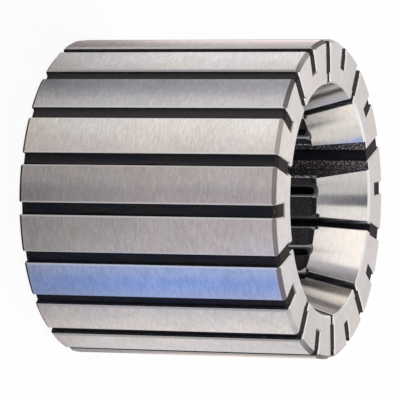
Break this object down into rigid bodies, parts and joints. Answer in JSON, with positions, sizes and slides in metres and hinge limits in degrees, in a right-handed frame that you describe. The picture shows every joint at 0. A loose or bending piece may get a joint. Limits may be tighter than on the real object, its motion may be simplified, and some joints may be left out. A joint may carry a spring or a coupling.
{
  "type": "expanding mandrel sleeve",
  "caption": "Slotted steel clamping sleeve with rubber in its grooves. Cones drawn into its two ends expand it to grip a workpiece by its bore.",
  "frame": {"origin": "centre of the rear face, on the sleeve's axis", "axes": "+Z along the axis from the rear face to the front face, +X through the keyed slot"},
  "size_m": [0.052, 0.052, 0.044],
  "materials": {
    "ground_steel": "ground satin, dark and unground in the slots and the middle of the bore",
    "black_rubber": "matte, moulded into the grooves"
  },
  "bodies": {
    "root": {"sleeve": "ground_steel", "keyed_slot_strip": "black_rubber", "front_slot_strip_1": "black_rubber", "front_slot_strip_2": "black_rubber", "front_slot_strip_3": "black_rubber", "front_slot_strip_4": "black_rubber", "front_slot_strip_5": "black_rubber", "front_slot_strip_6": "black_rubber", "front_slot_strip_7": "black_rubber", "front_slot_strip_8": "black_rubber", "front_slot_strip_9": "black_rubber", "rear_slot_strip_1": "black_rubber", "rear_slot_strip_2": "black_rubber", "rear_slot_strip_3": "black_rubber", "rear_slot_strip_4": "black_rubber", "rear_slot_strip_5": "black_rubber", "rear_slot_strip_6": "black_rubber", "rear_slot_strip_7": "black_rubber", "rear_slot_strip_8": "black_rubber", "rear_slot_strip_9": "black_rubber", "rear_slot_strip_10": "black_rubber"}
  },
  "joints": []
}
